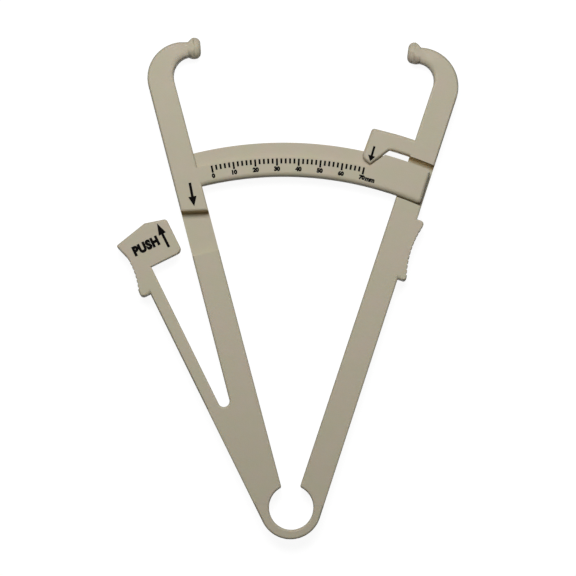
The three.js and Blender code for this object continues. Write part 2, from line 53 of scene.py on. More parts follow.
# Spring ring: the lower half of the open ring that holds the two arms apart. Cream plastic of the
# same shot as the arms, a slab with its rims rounded by the mould. On the real caliper it bends when
# the jaws close.
THICKNESS = 8.0
RIM = 0.75
RING_TOP = 1.0
BORE_CENTRE = Vector((0.44, 0.0))
BORE_RADIUS = 7.55
RING_CENTRE = Vector((0.21, -0.3))
RING_RADIUS = 10.47
ARM_OUTER_LEAN = 16.31
LEVER_LEAN = 28.1
FRAME_SHIFT = Vector((4.24879, -74.81811, 0.0))
INTO_FRAME = Matrix.Scale(0.001, 4) @ Matrix.Translation(FRAME_SHIFT)
SAME_PLACE = 0.001
WELD_DISTANCE = 0.0005
SHARP_ANGLE = 38


def towards(angle):
    """Unit vector at an angle in degrees from +X."""
    return Vector((math.cos(math.radians(angle)), math.sin(math.radians(angle))))


def arc(centre, radius, start, end, steps=12):
    """Points on a circle from one angle to another, in degrees from +X."""
    return [centre + radius * towards(start + (end - start) * i / steps) for i in range(steps + 1)]


def arc_between(centre, first, last, steps=12):
    """Points on the shorter arc about a centre from one point on it to another."""
    start = math.degrees(math.atan2(first.y - centre.y, first.x - centre.x))
    end = math.degrees(math.atan2(last.y - centre.y, last.x - centre.x))
    turn = (end - start + 180) % 360 - 180
    return arc(centre, (first - centre).length, start, start + turn, steps)


def slab(name, outline, bottom, top):
    """Plate of an outline between two heights above the back, its face extruded upwards."""
    bpy.ops.mesh.primitive_circle_add(vertices=len(outline), radius=1, fill_type="NGON")
    plate = bpy.context.object
    plate.name = name
    for vertex, point in zip(plate.data.vertices, outline):
        vertex.co = (point.x, point.y, bottom)
    bpy.ops.object.mode_set(mode="EDIT")
    bpy.ops.mesh.select_all(action="SELECT")
    bpy.ops.mesh.extrude_region_move(TRANSFORM_OT_translate={"value": (0, 0, top - bottom)})
    bpy.ops.mesh.select_all(action="SELECT")
    bpy.ops.mesh.normals_make_consistent(inside=False)
    bpy.ops.object.mode_set(mode="OBJECT")
    return plate


def round_edges(piece, width, chosen, segments=4):
    """Round the edges for whose two ends chosen(a, b) holds, or gives a share of the width."""
    weights = piece.data.attributes.new("bevel_weight_edge", "FLOAT", "EDGE")
    corners = piece.data.vertices
    for edge, weight in zip(piece.data.edges, weights.data):
        weight.value = chosen(*(corners[i].co for i in edge.vertices))
    bpy.context.view_layer.objects.active = piece
    bpy.ops.object.modifier_add(type="BEVEL")
    bevel = piece.modifiers[-1]
    bevel.limit_method = "WEIGHT"
    bevel.width = width
    bevel.segments = segments
    bevel.use_clamp_overlap = False
    bpy.ops.object.modifier_apply(modifier=bevel.name)
    piece.data.attributes.remove(piece.data.attributes["bevel_weight_edge"])


def on_line(point, first, last):
    """Whether a point, seen from the front, lies on the line through two others."""
    along = (last - first).normalized()
    offset = point.xy - first
    return abs(along.x * offset.y - along.y * offset.x) < SAME_PLACE


def rims(*seams, heights=(0.0, THICKNESS)):
    """Chooser of the edges at the given heights, but for those that lie on a seam."""
    def chosen(a, b):
        level = any(max(abs(a.z - height), abs(b.z - height)) < SAME_PLACE for height in heights)
        return level and not any(on_line(a, *seam) and on_line(b, *seam) for seam in seams)
    return chosen


def arm_outer(y):
    """Point on the outer edge of the right arm, tangent to the ring."""
    lean = math.radians(ARM_OUTER_LEAN)
    x = RING_CENTRE.x + RING_RADIUS / math.cos(lean) + (y - RING_CENTRE.y) * math.tan(lean)
    return Vector((x, y))


LEVER_ALONG = towards(90 + LEVER_LEAN)
LEVER_OUT = towards(180 + LEVER_LEAN)
LEVER_START = RING_CENTRE + RING_RADIUS * LEVER_OUT


def on_lever(distance, out):
    """Point at a distance up the lever's outer edge and a distance out to the left of it."""
    return LEVER_START + distance * LEVER_ALONG + out * LEVER_OUT


bore_at_top = math.degrees(math.asin(RING_TOP / BORE_RADIUS))
lever_at_top = (RING_TOP - LEVER_START.y) / LEVER_ALONG.y
ring_seam = (Vector((-RING_RADIUS, RING_TOP)), Vector((RING_RADIUS, RING_TOP)))

ring = slab("spring_ring", [
    arm_outer(RING_TOP),
    *arc(BORE_CENTRE, BORE_RADIUS, bore_at_top, -180 - bore_at_top, steps=64),
    on_lever(lever_at_top, 0),
    *arc(RING_CENTRE, RING_RADIUS, 180 + LEVER_LEAN, 360 - ARM_OUTER_LEAN, steps=64),
], 0, THICKNESS)
round_edges(ring, RIM, rims(ring_seam))


PATCH_SCALE = 140
ROUGHNESS_SPREAD = 0.16
GRAIN_DEPTH = 0.0001
CORNER_TOP_FADE = 0.0007
WARM_CREAM = (0.515, 0.450, 0.352, 1)
GREEN_CREAM = (0.492, 0.456, 0.334, 1)
# Brown of the painted shade in deep corners.
PAINTED_SHADE_BROWN = (0.62, 0.47, 0.25, 1)


def grain_group():
    """Fine grain of a moulded skin, as a height and as a roughness about a middle value."""
    group = bpy.data.node_groups.new("moulded_grain", "ShaderNodeTree")
    group.interface.new_socket("Scale", in_out="INPUT", socket_type="NodeSocketFloat")
    group.interface.new_socket("Roughness", in_out="INPUT", socket_type="NodeSocketFloat")
    group.interface.new_socket("Height", in_out="OUTPUT", socket_type="NodeSocketFloat")
    group.interface.new_socket("Roughness", in_out="OUTPUT", socket_type="NodeSocketFloat")
    nodes, links = group.nodes, group.links
    given, result = nodes.new("NodeGroupInput"), nodes.new("NodeGroupOutput")
    place = nodes.new("ShaderNodeTexCoord")
    grain = nodes.new("ShaderNodeTexNoise")
    grain.inputs["Detail"].default_value = 2
    patches = nodes.new("ShaderNodeTexNoise")
    patches.inputs["Scale"].default_value = PATCH_SCALE
    spread = nodes.new("ShaderNodeMath")
    spread.operation = "MULTIPLY_ADD"
    spread.inputs[1].default_value = ROUGHNESS_SPREAD
    shift = nodes.new("ShaderNodeMath")
    shift.operation = "SUBTRACT"
    shift.inputs[1].default_value = ROUGHNESS_SPREAD / 2
    links.new(place.outputs["Object"], grain.inputs["Vector"])
    links.new(place.outputs["Object"], patches.inputs["Vector"])
    links.new(given.outputs["Scale"], grain.inputs["Scale"])
    links.new(grain.outputs["Fac"], result.inputs["Height"])
    links.new(patches.outputs["Fac"], spread.inputs[0])
    links.new(given.outputs["Roughness"], spread.inputs[2])
    links.new(spread.outputs["Value"], shift.inputs[0])
    links.new(shift.outputs["Value"], result.inputs["Roughness"])
    return group


GRAIN = grain_group()


def add_grain(material, scale, roughness, strength):
    """Give a material the moulded grain, with its bump and its roughness."""
    nodes, links = material.node_tree.nodes, material.node_tree.links
    shader = nodes["Principled BSDF"]
    grain = nodes.new("ShaderNodeGroup")
    grain.node_tree = GRAIN
    grain.inputs["Scale"].default_value = scale
    grain.inputs["Roughness"].default_value = roughness
    bump = nodes.new("ShaderNodeBump")
    bump.inputs["Strength"].default_value = strength
    bump.inputs["Distance"].default_value = GRAIN_DEPTH
    links.new(grain.outputs["Height"], bump.inputs["Height"])
    links.new(bump.outputs["Normal"], shader.inputs["Normal"])
    links.new(grain.outputs["Roughness"], shader.inputs["Roughness"])


def painted_shade_group():
    """Mask of painted shade in a deep corner, which lies along a wall on a circle round a centre.

    Going outwards it grows from Floor to Wall and fades from Lip to End, and it starts below Top.
    """
    group = bpy.data.node_groups.new("painted_corner_shade", "ShaderNodeTree")
    group.interface.new_socket("Centre", in_out="INPUT", socket_type="NodeSocketVector")
    for name in ("Floor", "Wall", "Lip", "End", "Top"):
        group.interface.new_socket(name, in_out="INPUT", socket_type="NodeSocketFloat")
    group.interface.new_socket("Depth", in_out="OUTPUT", socket_type="NodeSocketFloat")
    nodes, links = group.nodes, group.links
    given, result = nodes.new("NodeGroupInput"), nodes.new("NodeGroupOutput")
    place = nodes.new("ShaderNodeTexCoord")
    parts, flat = nodes.new("ShaderNodeSeparateXYZ"), nodes.new("ShaderNodeCombineXYZ")
    reach = nodes.new("ShaderNodeVectorMath")
    reach.operation = "DISTANCE"
    below_top = nodes.new("ShaderNodeMath")
    below_top.operation = "SUBTRACT"
    below_top.inputs[1].default_value = CORNER_TOP_FADE
    links.new(place.outputs["Object"], parts.inputs["Vector"])
    links.new(parts.outputs["X"], flat.inputs["X"])
    links.new(parts.outputs["Y"], flat.inputs["Y"])
    links.new(flat.outputs["Vector"], reach.inputs[0])
    links.new(given.outputs["Centre"], reach.inputs[1])
    links.new(given.outputs["Top"], below_top.inputs[0])

    def fade(value, none, full):
        """Smooth step of a value between the one that gives 0 and the one that gives 1."""
        step = nodes.new("ShaderNodeMapRange")
        step.interpolation_type = "SMOOTHSTEP"
        links.new(value, step.inputs["Value"])
        links.new(none, step.inputs["From Min"])
        links.new(full, step.inputs["From Max"])
        return step.outputs["Result"]

    def product(first, second):
        times = nodes.new("ShaderNodeMath")
        times.operation = "MULTIPLY"
        links.new(first, times.inputs[0])
        links.new(second, times.inputs[1])
        return times.outputs["Value"]

    near_wall = fade(reach.outputs["Value"], given.outputs["Floor"], given.outputs["Wall"])
    within_lip = fade(reach.outputs["Value"], given.outputs["End"], given.outputs["Lip"])
    sunk = fade(parts.outputs["Z"], given.outputs["Top"], below_top.outputs["Value"])
    links.new(product(product(near_wall, within_lip), sunk), result.inputs["Depth"])
    return group


CORNER_SHADE_NODES = painted_shade_group()


def moulded_plastic(name, corner=None):
    """Cream plastic: a satin skin that lets a little light in, faintly clouded, with a fine grain.

    A deep corner, given as the values of its mask in metres, gets painted shade, a browner colour.
    """
    material = bpy.data.materials.new(name)
    material.use_nodes = True
    nodes, links = material.node_tree.nodes, material.node_tree.links
    shader = nodes["Principled BSDF"]
    shader.inputs["Specular IOR Level"].default_value = 0.2
    shader.inputs["Subsurface Weight"].default_value = 0.3
    shader.inputs["Subsurface Radius"].default_value = (1.0, 0.65, 0.4)
    shader.inputs["Subsurface Scale"].default_value = 0.0012
    place = nodes.new("ShaderNodeTexCoord")
    clouds = nodes.new("ShaderNodeTexNoise")
    clouds.inputs["Scale"].default_value = 120
    clouds.inputs["Detail"].default_value = 3
    tint = nodes.new("ShaderNodeValToRGB")
    tint.color_ramp.elements[0].position = 0.35
    tint.color_ramp.elements[0].color = WARM_CREAM
    tint.color_ramp.elements[1].position = 0.6
    tint.color_ramp.elements[1].color = GREEN_CREAM
    links.new(place.outputs["Object"], clouds.inputs["Vector"])
    links.new(clouds.outputs["Fac"], tint.inputs["Fac"])
    links.new(tint.outputs["Color"], shader.inputs["Base Color"])
    # Painted shade: the colour is mixed towards brown in the deep corner, where shade falls.
    if corner:
        depth = nodes.new("ShaderNodeGroup")
        depth.node_tree = CORNER_SHADE_NODES
        for socket, value in zip(depth.inputs, corner):
            socket.default_value = value
        shade_mix = nodes.new("ShaderNodeMix")
        shade_mix.data_type = "RGBA"
        shade_mix.inputs["B"].default_value = PAINTED_SHADE_BROWN
        links.new(depth.outputs["Depth"], shade_mix.inputs["Factor"])
        links.new(tint.outputs["Color"], shade_mix.inputs["A"])
        links.new(shade_mix.outputs["Result"], shader.inputs["Base Color"])
    add_grain(material, scale=2600, roughness=0.5, strength=0.25)
    return material


CREAM = moulded_plastic("cream_plastic_skin")


def finish_moulding(piece, material, *nodes):
    """Smooth a moulding, bring it into the frame and let it stand for its CAD nodes."""
    bpy.ops.object.select_all(action="DESELECT")
    piece.select_set(True)
    bpy.context.view_layer.objects.active = piece
    bpy.ops.object.mode_set(mode="EDIT")
    bpy.ops.mesh.select_all(action="SELECT")
    bpy.ops.mesh.remove_doubles(threshold=WELD_DISTANCE)
    bpy.ops.mesh.normals_make_consistent(inside=False)
    bpy.ops.object.mode_set(mode="OBJECT")
    bpy.ops.object.shade_smooth_by_angle(angle=math.radians(SHARP_ANGLE))
    bpy.ops.object.modifier_add(type="WEIGHTED_NORMAL")
    piece.modifiers[-1].keep_sharp = True
    piece.modifiers[-1].weight = 100
    bpy.ops.object.modifier_apply(modifier=piece.modifiers[-1].name)
    piece.data.transform(INTO_FRAME)
    piece.data.materials.clear()
    piece.data.materials.append(material)
    piece.select_set(False)
    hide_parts(*nodes)


def in_frame(x, y, z=THICKNESS / 2):
    """Place in the frame of a point on the drawing, in metres."""
    return tuple((Vector((x, y, z)) + FRAME_SHIFT) / 1000)


finish_moulding(ring, CREAM, "hinge_ring")
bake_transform(ring)


# Pointer arm: the half that swings, from the ring's shoulder to the jaw and its round pad. Same
# shot of cream plastic. The shoulder is a slab, and its end is drawn out into arm, jaw and pad.
SHOULDER_TOP = 14.0
THROAT_HALF_WIDTH = 1.08
THROAT_ROUNDING = 0.8
ARM_INNER_LEAN = 16.6
NECK_THICKNESS = 7.1
NECK_ROUNDING = 1.0
UNDERSIDE_ROUNDING = 2.6
NECK_REACH = 0.9
NECK_TAPER = 5.6
PAD_REACH = 35.07
PAD_LEAN = 5.3
PAD_DIAMETER = 7.35
PAD_LENGTH = 4.4
PAD_RIM = 2.1
PAD_ROUNDING = 2.0
CLOSED_PAD_GAP = 0.85
MOST_ROUNDING = 0.485
BEND_STEPS = 22
BEND_SHARE = 0.92
ROUNDED_BY = 0.75
FLARE_STEPS = 8
FLARE_CURVE = 1.4
FLARE_ROUNDING_CURVE = 4
FACE_ROUNDING_STEPS = 6


def arm_inner(y):
    """Point on the inner edge of the right arm."""
    return Vector((THROAT_HALF_WIDTH + y * math.tan(math.radians(ARM_INNER_LEAN)), y))


def mirrored(points, side):
    """Points drawn on the right, moved to the left where the side is -1."""
    return [Vector((side * point.x, point.y)) for point in points]


def across_arm(height):
    """Inner and outer point of a square cut through the right arm."""
    inner = arm_inner(height)
    across = towards(-(ARM_INNER_LEAN + ARM_OUTER_LEAN) / 2)
    lean = math.radians(ARM_OUTER_LEAN)
    foot = arm_outer(height)
    width = (foot.x - inner.x) / (across.x - across.y * math.tan(lean))
    return inner, inner + width * across


def throat(side, top):
    """Inner edge of a shoulder: rounded nose of the throat, then the bore down to the ring."""
    bore = Vector((side * BORE_CENTRE.x, BORE_CENTRE.y))
    into, along = towards(-ARM_INNER_LEAN), towards(90 - ARM_INNER_LEAN)
    offset = THROAT_HALF_WIDTH * into.x + THROAT_ROUNDING - bore.dot(into)
    rise = math.sqrt((BORE_RADIUS + THROAT_ROUNDING) ** 2 - offset ** 2)
    nose = bore + offset * into + rise * along
    on_edge = nose - THROAT_ROUNDING * into
    on_bore = bore + BORE_RADIUS * (nose - bore).normalized()
    last = bore + Vector((math.sqrt(BORE_RADIUS ** 2 - top ** 2), top))
    return arc_between(nose, on_edge, on_bore, steps=8) + arc_between(bore, on_bore, last, steps=16)[1:]


class Section:
    """Rounded section of an arm, from a point on its inner edge to one on its outer edge."""

    def __init__(self, inner, outer, thickness, rounding, inner_rounding=None):
        self.middle = (inner + outer) / 2
        self.across = (outer - inner).normalized()
        self.width = (outer - inner).length
        self.thickness = thickness
        most = MOST_ROUNDING * min(self.width, thickness)
        self.roundings = {1: min(rounding, most), -1: min(inner_rounding or rounding, most)}

    def corner(self, point):
        """Which corner a point of the section belongs to, and how far it is round that corner."""
        u = (point.xy - self.middle).dot(self.across)
        w = point.z - THICKNESS / 2
        rounding = self.roundings[math.copysign(1, u)]
        beyond_u = max(abs(u) - (self.width / 2 - rounding), 0)
        beyond_w = max(abs(w) - (self.thickness / 2 - rounding), 0)
        return math.copysign(1, u), math.copysign(1, w), math.atan2(beyond_w, beyond_u)

    def place(self, corner):
        """Point at one of the section's corners, as far round it as corner() says."""
        side, front, angle = corner
        rounding = self.roundings[side]
        u = side * (self.width / 2 - rounding + rounding * math.cos(angle))
        w = front * (self.thickness / 2 - rounding + rounding * math.sin(angle))
        flat = self.middle + u * self.across
        return Vector((flat.x, flat.y, THICKNESS / 2 + w))


def smooth_step(value):
    """Value from 0 to 1 that starts and ends level."""
    value = min(max(value, 0), 1)
    return value * value * (3 - 2 * value)


class Jaw:
    """Bent end of an arm, drawn on the right: its two bends, its neck and its pad."""

    def __init__(self, side, bend_height, inner_radius, neck_height, outer_radius, pad_rise):
        inner_lean, outer_lean = math.radians(ARM_INNER_LEAN), math.radians(ARM_OUTER_LEAN)
        neck_bottom = bend_height + inner_radius
        outer_height = neck_bottom + neck_height - outer_radius
        self.side = side
        self.inner_centre = arm_inner(bend_height) - Vector((inner_radius / math.cos(inner_lean), 0))
        self.outer_centre = arm_outer(outer_height) - Vector((outer_radius / math.cos(outer_lean), 0))
        self.inner_radius, self.outer_radius = inner_radius, outer_radius
        self.neck_height = neck_height
        self.neck_middle = neck_bottom + neck_height / 2
        self.pad_middle = self.neck_middle + pad_rise

    def bend_sections(self):
        """Sections round the bend, thinning from the arm to the rounded neck."""
        sections = []
        for i in range(BEND_STEPS + 1):
            share = BEND_SHARE * i / BEND_STEPS
            inner_angle = -ARM_INNER_LEAN + (90 + ARM_INNER_LEAN) * share
            outer_angle = -ARM_OUTER_LEAN + (90 + ARM_OUTER_LEAN) * share
            inner = self.inner_centre + self.inner_radius * towards(inner_angle)
            outer = self.outer_centre + self.outer_radius * towards(outer_angle)
            taper = ((inner.x + outer.x) / 2 - self.inner_centre.x - NECK_REACH) / NECK_TAPER
            thickness = NECK_THICKNESS + (THICKNESS - NECK_THICKNESS) * smooth_step(taper)
            rounded = smooth_step(share / ROUNDED_BY)
            rounding = RIM + (NECK_ROUNDING - RIM) * rounded
            underside = RIM + (UNDERSIDE_ROUNDING - RIM) * rounded
            section = Section(inner, outer, thickness, rounding, underside)
            sections.append(mirrored_section(section, self.side))
        return sections

    def pad_sections(self):
        """Sections of the pad: its flare from the neck, its rim and the rounded edge of its face."""
        face_lean = math.radians(PAD_LEAN)
        facing = Vector((-self.side * math.cos(face_lean), math.sin(face_lean)))
        centre = Vector((self.side * PAD_REACH, self.pad_middle)) - CLOSED_PAD_GAP / 2 * facing
        base = Vector(((centre - PAD_LENGTH * facing).x, self.neck_middle))
        start = PAD_LENGTH - PAD_RIM
        neck, rim = self.neck_height / 2, PAD_DIAMETER / 2
        profile = []
        for i in range(FLARE_STEPS + 1):
            opened = 1 - (1 - i / FLARE_STEPS) ** FLARE_CURVE
            profile.append((start * i / FLARE_STEPS, neck + (rim - neck) * opened))
        profile.append((PAD_LENGTH - PAD_ROUNDING, rim))
        for i in range(1, FACE_ROUNDING_STEPS + 1):
            turn = math.radians(90 * i / FACE_ROUNDING_STEPS)
            along = PAD_LENGTH - PAD_ROUNDING * (1 - math.sin(turn))
            profile.append((along, rim - PAD_ROUNDING * (1 - math.cos(turn))))
        sections = []
        for along, radius in profile:
            flared = min(along / start, 1)
            lean = flared * face_lean
            up = Vector((self.side * math.sin(lean), math.cos(lean)))
            middle = base.lerp(centre - PAD_RIM * facing, flared) + max(along - start, 0) * facing
            thickness = NECK_THICKNESS + (PAD_DIAMETER - NECK_THICKNESS) * flared
            if flared == 1:
                thickness = 2 * radius
            rounded = flared ** FLARE_ROUNDING_CURVE
            rounding = NECK_ROUNDING + (rim - NECK_ROUNDING) * rounded
            underside = UNDERSIDE_ROUNDING + (rim - UNDERSIDE_ROUNDING) * rounded
            low, high = middle - radius * up, middle + radius * up
            sections.append(Section(low, high, thickness, rounding, underside))
        return sections

    def sections(self):
        return self.bend_sections() + self.pad_sections()


def mirrored_section(section, side):
    """Section drawn on the right, moved to the left where the side is -1."""
    half = section.across * section.width / 2
    inner, outer = mirrored([section.middle - half, section.middle + half], side)
    return Section(inner, outer, section.thickness, section.roundings[1], section.roundings[-1])


def draw_out(piece, first, sections):
    """Extrude a piece's end face from section to section."""
    bpy.context.view_layer.objects.active = piece
    bpy.ops.object.mode_set(mode="EDIT")
    bpy.ops.mesh.select_mode(type="FACE")
    bpy.ops.mesh.select_all(action="DESELECT")
    mesh = bmesh.from_edit_mesh(piece.data)
    for face in mesh.faces:
        ends = [on_line(vertex.co, first.middle, first.middle + first.across) for vertex in face.verts]
        if all(ends) and (face.calc_center_median().xy - first.middle).length < first.width / 2:
            face.select_set(True)
    bmesh.update_edit_mesh(piece.data)
    last = first
    for section in sections:
        bpy.ops.mesh.extrude_region_move(TRANSFORM_OT_translate={"value": (0, 0, 0)})
        mesh = bmesh.from_edit_mesh(piece.data)
        for vertex in mesh.verts:
            if vertex.select:
                vertex.co = section.place(last.corner(vertex.co))
        bmesh.update_edit_mesh(piece.data)
        last = section
    bpy.ops.object.mode_set(mode="OBJECT")


def unite(piece, other):
    combine(piece, other, "UNION")


def cut(piece, other):
    combine(piece, other, "DIFFERENCE")


def combine(piece, other, operation):
    """Fuse another solid to a piece or take it away, and remove it."""
    for solid in (piece, other):
        for vertex in solid.data.vertices:
            for level in (0.0, THICKNESS):
                if abs(vertex.co.z - level) < WELD_DISTANCE:
                    vertex.co.z = level
    bpy.context.view_layer.objects.active = piece
    bpy.ops.object.modifier_add(type="BOOLEAN")
    modifier = piece.modifiers[-1]
    modifier.operation = operation
    modifier.solver = "EXACT"
    modifier.object = other
    bpy.ops.object.modifier_apply(modifier=modifier.name)
    bpy.data.objects.remove(other, do_unlink=True)


shoulder_end = across_arm(SHOULDER_TOP)
pointer_side = slab("pointer_arm_moulding", [
    arm_outer(RING_TOP),
    shoulder_end[1],
    shoulder_end[0],
    *throat(1, RING_TOP),
], 0, THICKNESS)
round_edges(pointer_side, RIM, rims(ring_seam, shoulder_end))
right_jaw = Jaw(1, bend_height=147.23, inner_radius=5.8, outer_radius=13.45,
                neck_height=5.27, pad_rise=1.17)
draw_out(pointer_side, Section(*shoulder_end, THICKNESS, RIM), right_jaw.sections())


# Cut-away in the front of the pointer arm, where the end of the scale slides past, and the bracket
# with its thin hook that reaches down over the scale's recessed band. Both are moulded with the arm.
SCALE_CENTRE = Vector((-2.0, -4.4))
SCALE_INNER = 117.12
BAND_INNER = 123.6
SCALE_OUTER = 128.7
STOP_RADIUS = 129.1
BRACKET_INNER = 131.18
BRACKET_OUTER = 136.97
WEB_FRONT = 3.8
FRONT_LAYER = 4.1
BAND_FRONT = 6.1
HOOK_BACK = 6.4
STOP_FOOT = 11.7
STOP_SLOPE = 38.0
STOP_GAP = 0.3
BRACKET_LEAD = 0.72
BRACKET_ROUNDING = 1.1
BRACKET_RIM = 1.0
WALL_FILLET = 1.8
ARMPIT_ROUNDING = 0.6
HOOK_TIP_RISE = 1.03
HOOK_SIDE_LEAD = 1.36
HOOK_SIDE_RISE = 2.6
HOOK_SIDE_ROUNDING = 2.4
CUTAWAY_CLEARANCE = 0.55
CUTAWAY_END = 30
CUTTER_TOP = 20
ON_ARC = 0.02
BRACKET_IN_ARM = 2.2
PAST_ARMPIT = 0.5
HOOK_SPACE_LEAD = 4
HOOK_SPACE_DROP = 2
# Reaches of the painted shade in the corner under the bracket, in millimetres.
BRACKET_SHADE = (129.2, 131.0, 131.7, 132.4, 7.9)


def on_scale(radius, angle):
    """Point at a distance from the scale's centre, its angle in degrees from +Y towards +X."""
    return SCALE_CENTRE + radius * towards(90 - angle)


def scale_angle(point):
    """Angle of a point seen from the scale's centre, as on_scale takes it."""
    return math.degrees(math.atan2(point.x - SCALE_CENTRE.x, point.y - SCALE_CENTRE.y))


def scale_arc(radius, first, last, steps=48):
    """Points on a circle of the scale from one of its angles to another."""
    return arc(SCALE_CENTRE, radius, 90 - first, 90 - last, steps)


def rounded_corner(before, corner, after, radius, steps=8):
    """Points of the arc that rounds a corner."""
    back, ahead = (before - corner).normalized(), (after - corner).normalized()
    half = math.acos(back.dot(ahead)) / 2
    centre = corner + radius / math.sin(half) * (back + ahead).normalized()
    reach = radius / math.tan(half)
    return arc_between(centre, corner + reach * back, corner + reach * ahead, steps)


def on_circle(point, direction, radius):
    """Where a line through a point crosses a circle of the scale, going forwards."""
    offset = point - SCALE_CENTRE
    along = offset.dot(direction)
    return point + (math.sqrt(along ** 2 - offset.length_squared + radius ** 2) - along) * direction


def edge_angle(foot_x, lean, radius):
    """Angle on the scale at which an arm's edge crosses a radius."""
    offset = foot_x - SCALE_CENTRE.x + SCALE_CENTRE.y * math.tan(math.radians(lean))
    return lean + math.degrees(math.asin(offset * math.cos(math.radians(lean)) / radius))


cutaway = slab("cutaway", [
    *scale_arc(SCALE_INNER - CUTAWAY_CLEARANCE, STOP_FOOT, CUTAWAY_END),
    *scale_arc(BRACKET_INNER, CUTAWAY_END, STOP_FOOT),
], WEB_FRONT, CUTTER_TOP)
cut(pointer_side, cutaway)


def foot_of_wall(a, b):
    """Whether both ends of an edge lie at the foot of the wall under the bracket."""
    def at_foot(end):
        from_wall = (end.xy - SCALE_CENTRE).length - BRACKET_INNER
        return abs(end.z - WEB_FRONT) < SAME_PLACE and abs(from_wall) < ON_ARC
    return at_foot(a) and at_foot(b)


round_edges(pointer_side, WALL_FILLET, foot_of_wall, segments=6)

stop_foot = on_scale(BAND_INNER, STOP_FOOT)
stop_direction = towards(STOP_SLOPE)
hook_edge = stop_foot + STOP_GAP * towards(STOP_SLOPE + 90)
hook_tip = on_circle(hook_edge, stop_direction, BAND_INNER + HOOK_TIP_RISE)
armpit = scale_angle(on_circle(hook_edge, stop_direction, BRACKET_INNER))
bracket_corner = on_scale(BRACKET_OUTER, STOP_FOOT - BRACKET_LEAD)
hook_side = on_scale(BAND_INNER + HOOK_SIDE_RISE, STOP_FOOT - HOOK_SIDE_LEAD)
in_arm = edge_angle(arm_outer(0).x, ARM_OUTER_LEAN, BRACKET_OUTER) - BRACKET_IN_ARM

bracket = slab("bracket", [
    hook_tip,
    *rounded_corner(hook_tip, on_scale(BRACKET_INNER, armpit), on_scale(BRACKET_INNER, in_arm),
                    ARMPIT_ROUNDING),
    *scale_arc(BRACKET_INNER, armpit + PAST_ARMPIT, in_arm, steps=12),
    *scale_arc(BRACKET_OUTER, in_arm, armpit, steps=12),
    *rounded_corner(on_scale(BRACKET_OUTER, armpit), bracket_corner, hook_side, BRACKET_ROUNDING),
    *rounded_corner(bracket_corner, hook_side, hook_tip, HOOK_SIDE_ROUNDING),
], FRONT_LAYER, THICKNESS)
arm_end = (on_scale(BRACKET_INNER, in_arm), on_scale(BRACKET_OUTER, in_arm))
round_edges(bracket, BRACKET_RIM, rims(arm_end, heights=(THICKNESS,)))
hook_space = slab("hook_space", [
    *scale_arc(BAND_INNER - HOOK_SPACE_DROP, STOP_FOOT - HOOK_SPACE_LEAD, in_arm, steps=12),
    *scale_arc(BRACKET_INNER, in_arm, STOP_FOOT - HOOK_SPACE_LEAD, steps=24),
], 0, HOOK_BACK)
cut(bracket, hook_space)
unite(pointer_side, bracket)


# Finger grip: hollow ridge of the same plastic on the outside of the pointer arm, moulded with it
# and ribbed across so that the finger doesn't slip.
GRIP_FOOT = 78.87
GRIP_LENGTH = 21.3
GRIP_HEIGHT = 2.9
GRIP_HOLLOW = 1.5
GRIP_FOOT_ROUNDING = 0.9
GRIP_TOP_ROUNDING = 1.3
GRIP_RIM = 0.65
FOOT_RIM = 1.3
NOTCH_PITCH = 1.65
NOTCH_RADIUS = 0.5
NOTCH_DEPTH = 0.32
NOTCH_FACETS = 14
GRIP_ROOT = 2.5
FOOT_POINTS = (0, 0.5, 1.0, 1.5)
FOOT_FADE_START = 0.3
FOOT_FADE_LENGTH = 1.3
ON_FOOT = 0.01

arm_along = towards(90 - ARM_OUTER_LEAN)
arm_out = towards(-ARM_OUTER_LEAN)


def on_finger_grip(distance, height):
    """Point at a distance up the arm's edge from the grip's foot and a height out from it."""
    return arm_outer(GRIP_FOOT) + distance * arm_along + height * arm_out


def foot_rims(seam, start, out):
    """Share of the widest rounding that each rim of a grip has: full where its foot leaves the arm."""
    along = Vector((-out.y, out.x))
    on_rim = rims(seam)

    def share(a, b):
        if not on_rim(a, b):
            return 0
        offset = (a.xy + b.xy) / 2 - start
        away = 1
        if abs(offset.dot(along)) < ON_FOOT:
            away = smooth_step((offset.dot(out) - FOOT_FADE_START) / FOOT_FADE_LENGTH)
        return 1 + (GRIP_RIM / FOOT_RIM - 1) * away
    return share


def notch(piece, edge):
    """Cut fine grooves across a grip, square to its face, along a line of points on its edge."""
    cutters = []
    for point, outward in edge:
        centre = point + (NOTCH_RADIUS - NOTCH_DEPTH) * outward
        bpy.ops.mesh.primitive_cylinder_add(
            vertices=NOTCH_FACETS, radius=NOTCH_RADIUS, depth=THICKNESS + 2,
            location=(centre.x, centre.y, THICKNESS / 2))
        cutters.append(bpy.context.object)
    bpy.ops.object.select_all(action="DESELECT")
    for cutter in cutters:
        cutter.select_set(True)
    bpy.context.view_layer.objects.active = cutters[0]
    bpy.ops.object.join()
    bpy.ops.object.transform_apply()
    cut(piece, cutters[0])


def hollow_edge(centre, radius, first, last):
    """Points of a grip's hollow one notch apart, each with the way out of the plastic."""
    points = arc_between(centre, first, last, round((last - first).length / NOTCH_PITCH))
    return [(point, (centre - point).normalized()) for point in points[1:-1]]


